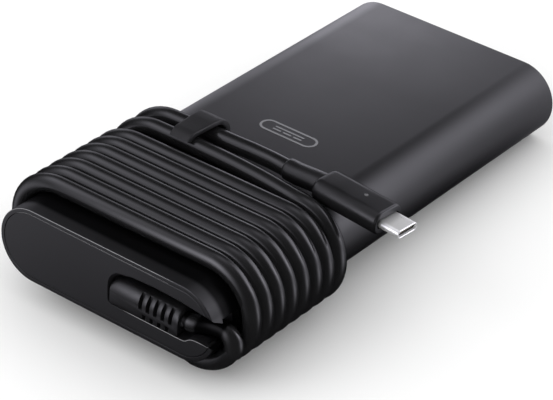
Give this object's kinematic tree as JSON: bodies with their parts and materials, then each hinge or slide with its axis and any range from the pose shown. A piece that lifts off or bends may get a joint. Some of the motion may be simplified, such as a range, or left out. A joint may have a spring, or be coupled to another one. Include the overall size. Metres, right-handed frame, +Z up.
{
  "type": "laptop power adapter",
  "caption": "Slim laptop power adapter with rounded sides, its output cable wound round it, a rubber strap holding the free end and a USB-C plug.",
  "frame": {"origin": "centre of the underside of the housing", "axes": "X across the width (the plug points to +X), Y along the length (cable-exit end faces -Y, mains inlet faces +Y), Z up"},
  "size_m": [0.0991, 0.1568, 0.0351],
  "materials": {
    "sleeve_housing": "fine matte texture",
    "front_end_cap": "fine matte texture",
    "rear_end_cap": "fine matte texture",
    "rating_label": "satin printed film",
    "top_mark": "printed",
    "inlet_body": "moulded",
    "inlet_pin_line": "plated",
    "inlet_pin_neutral": "plated",
    "inlet_pin_earth": "plated",
    "main_board": "solder mask",
    "insulation_sheet": "film",
    "heat_spreader": "rolled sheet",
    "thermal_pad": "soft",
    "fuse": "glazed",
    "varistor": "dipped",
    "thermistor": "dipped",
    "interference_capacitor": "moulded box",
    "safety_capacitor_a": "dipped",
    "safety_capacitor_b": "dipped",
    "choke_core": "coated ferrite",
    "choke_base": "moulded",
    "bridge_rectifier": "moulded",
    "boost_inductor_core": "ferrite",
    "boost_inductor_winding": "enamelled copper wire",
    "bulk_capacitor_a": "sleeved can",
    "bulk_capacitor_b": "sleeved can",
    "boost_transistor": "moulded",
    "main_transistor": "moulded",
    "heat_sink": "bare",
    "transformer_bobbin": "moulded",
    "transformer_core": "ferrite",
    "transformer_winding": "tape-wrapped winding",
    "rectifier_chip": "moulded",
    "output_inductor": "ferrite",
    "output_capacitor_a": "sleeved can",
    "output_capacitor_b": "sleeved can",
    "optocoupler": "moulded",
    "controller_board": "solder mask",
    "controller_chip": "moulded",
    "line_wire": "insulated wire",
    "neutral_wire": "insulated wire",
    "earth_wire": "insulated wire",
    "output_wire_positive": "insulated wire",
    "output_wire_negative": "insulated wire",
    "exit_sleeve": "satin elastomer",
    "dc_cable": "satin cable jacket",
    "lead_cable": "satin cable jacket",
    "cable_clip": "matte elastomer",
    "plug_sleeve": "satin elastomer",
    "plug_overmould": "satin moulding",
    "plug_shell": "bright nickel",
    "plug_tongue": "moulded",
    "plug_contacts_upper": "gold plated",
    "plug_contacts_lower": "gold plated",
    "plug_board": "solder mask",
    "plug_shield": "tinned",
    "plug_light": "translucent lens, unlit"
  },
  "bodies": {
    "adapter": {"sleeve_housing": "sleeve_housing", "front_end_cap": "front_end_cap", "rear_end_cap": "rear_end_cap", "rating_label": "rating_label", "top_mark": "top_mark", "inlet_body": "inlet_body", "inlet_pin_line": "inlet_pin_line", "inlet_pin_neutral": "inlet_pin_neutral", "inlet_pin_earth": "inlet_pin_earth", "main_board": "main_board", "insulation_sheet": "insulation_sheet", "heat_spreader": "heat_spreader", "thermal_pad": "thermal_pad", "fuse": "fuse", "varistor": "varistor", "thermistor": "thermistor", "interference_capacitor": "interference_capacitor", "safety_capacitor_a": "safety_capacitor_a", "safety_capacitor_b": "safety_capacitor_b", "choke_core": "choke_core", "choke_base": "choke_base", "bridge_rectifier": "bridge_rectifier", "boost_inductor_core": "boost_inductor_core", "boost_inductor_winding": "boost_inductor_winding", "bulk_capacitor_a": "bulk_capacitor_a", "bulk_capacitor_b": "bulk_capacitor_b", "boost_transistor": "boost_transistor", "main_transistor": "main_transistor", "heat_sink": "heat_sink", "transformer_bobbin": "transformer_bobbin", "transformer_core": "transformer_core", "transformer_winding": "transformer_winding", "rectifier_chip": "rectifier_chip", "output_inductor": "output_inductor", "output_capacitor_a": "output_capacitor_a", "output_capacitor_b": "output_capacitor_b", "optocoupler": "optocoupler", "controller_board": "controller_board", "controller_chip": "controller_chip", "line_wire": "line_wire", "neutral_wire": "neutral_wire", "earth_wire": "earth_wire", "output_wire_positive": "output_wire_positive", "output_wire_negative": "output_wire_negative", "exit_sleeve": "exit_sleeve", "dc_cable": "dc_cable"},
    "clip": {"cable_clip": "cable_clip"},
    "lead": {"lead_cable": "lead_cable"},
    "plug": {"plug_sleeve": "plug_sleeve", "plug_overmould": "plug_overmould", "plug_shell": "plug_shell", "plug_tongue": "plug_tongue", "plug_contacts_upper": "plug_contacts_upper", "plug_contacts_lower": "plug_contacts_lower", "plug_board": "plug_board", "plug_shield": "plug_shield", "plug_light": "plug_light"}
  },
  "joints": [
    {"name": "clip_open", "type": "hinge", "parent": "adapter", "child": "clip", "pos_m": [-0.01641, -0.02666, 0.02526], "axis": [1, 0, 0], "range_deg": [0, 75]},
    {"name": "lead_lift", "type": "hinge", "parent": "adapter", "child": "lead", "pos_m": [-0.00896, -0.01926, 0.02526], "axis": [0, -1, 0], "range_deg": [0, 55]},
    {"name": "plug_bend", "type": "hinge", "parent": "lead", "child": "plug", "pos_m": [0.01288, -0.02026, 0.02604], "axis": [0, 0, 1], "range_deg": [0, 35]}
  ]
}
